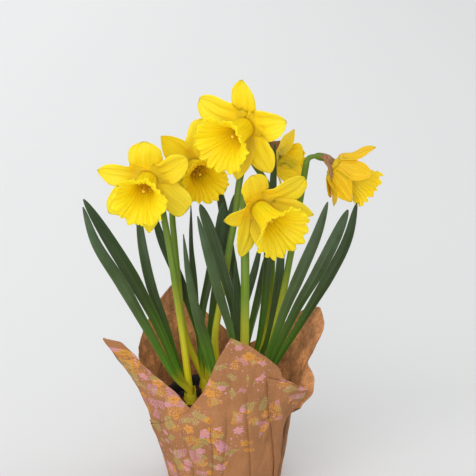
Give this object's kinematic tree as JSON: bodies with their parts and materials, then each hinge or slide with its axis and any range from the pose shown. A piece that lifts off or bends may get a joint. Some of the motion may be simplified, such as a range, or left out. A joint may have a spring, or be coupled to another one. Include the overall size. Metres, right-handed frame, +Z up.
{
  "type": "potted daffodil",
  "caption": "Potted trumpet daffodils in flower, grown from bulbs in a round nursery pot that stands in an open printed paper wrap.",
  "frame": {"origin": "centre of the flat bottom of the paper wrap, under the pot", "axes": "+Z up along the pot's axis, -Y towards the front, where most flowers look, +X to the right"},
  "size_m": [0.3114, 0.1854, 0.4541],
  "materials": {
    "pot": "satin",
    "soil": "matte",
    "paper": "matte",
    "bulb": "matte",
    "leaf": "satin",
    "stem": "satin",
    "spathe": "matte",
    "petal": "satin",
    "trumpet": "satin"
  },
  "bodies": {
    "root": {"pot": "pot", "soil": "soil", "paper_wrap": "paper", "bulb_left": "bulb", "bulb_middle": "bulb", "bulb_front": "bulb", "bulb_right": "bulb", "bulb_back": "bulb", "bulb_rear_left": "bulb", "leaf_left_1": "leaf", "leaf_left_2": "leaf", "leaf_left_3": "leaf", "leaf_rear_left_1": "leaf", "leaf_rear_left_2": "leaf", "leaf_rear_left_3": "leaf", "leaf_middle_1": "leaf", "leaf_middle_2": "leaf", "leaf_middle_3": "leaf", "leaf_front_1": "leaf", "leaf_front_2": "leaf", "leaf_front_3": "leaf", "leaf_right_1": "leaf", "leaf_right_2": "leaf", "leaf_right_3": "leaf", "leaf_back_1": "leaf", "leaf_back_2": "leaf", "leaf_back_3": "leaf", "leaf_back_4": "leaf", "petals_left": "petal", "trumpet_left": "trumpet", "stem_left": "stem", "spathe_left": "spathe", "petals_rear_left": "petal", "trumpet_rear_left": "trumpet", "stem_rear_left": "stem", "spathe_rear_left": "spathe", "petals_middle": "petal", "trumpet_middle": "trumpet", "stem_middle": "stem", "spathe_middle": "spathe", "petals_front": "petal", "trumpet_front": "trumpet", "stem_front": "stem", "spathe_front": "spathe", "petals_back": "petal", "trumpet_back": "trumpet", "stem_back": "stem", "spathe_back": "spathe", "petals_right": "petal", "trumpet_right": "trumpet", "stem_right": "stem", "spathe_right": "spathe"}
  },
  "joints": []
}
